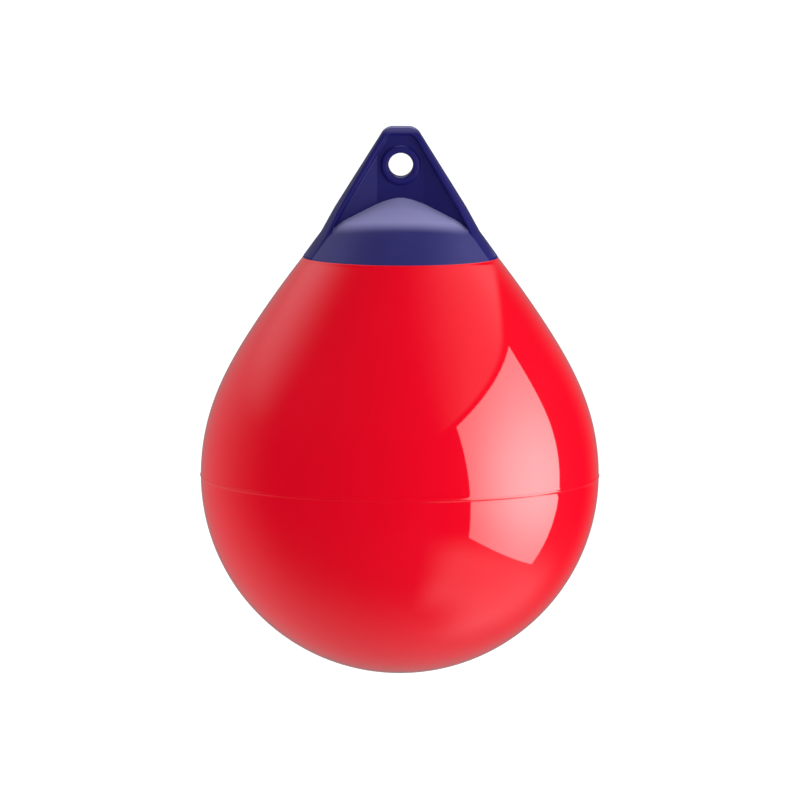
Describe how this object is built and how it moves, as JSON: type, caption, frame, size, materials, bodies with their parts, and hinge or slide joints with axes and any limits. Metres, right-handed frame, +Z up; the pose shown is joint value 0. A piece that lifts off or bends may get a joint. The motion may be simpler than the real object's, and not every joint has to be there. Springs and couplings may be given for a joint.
{
  "type": "mooring buoy",
  "caption": "Teardrop mooring buoy: round hollow vinyl body, tapered moulded rope hold with a bored eye on top, and a slotted air valve screw on its back shoulder.",
  "frame": {"origin": "middle of the rope eye's bore, from which the buoy hangs", "axes": "+Z up along the body's axis, away from its round bottom; Y along the bore of the rope eye; the front faces -Y and the air valve is on the back"},
  "size_m": [0.4313, 0.4314, 0.5903],
  "materials": {
    "red_vinyl": "glossy soft vinyl",
    "navy_vinyl": "satin moulded vinyl",
    "valve_plastic": "satin moulded plastic",
    "seal_rubber": "matt rubber"
  },
  "bodies": {
    "buoy": {"body_shell": "red_vinyl", "rope_hold": "navy_vinyl", "valve_seat": "valve_plastic"},
    "valve_screw": {"valve_screw": "valve_plastic", "valve_washer": "seal_rubber"}
  },
  "joints": [
    {"name": "valve_lift", "type": "slide", "parent": "buoy", "child": "valve_screw", "axis": [0, 0.4163, 0.9092], "range_m": [0, 0.03]}
  ]
}
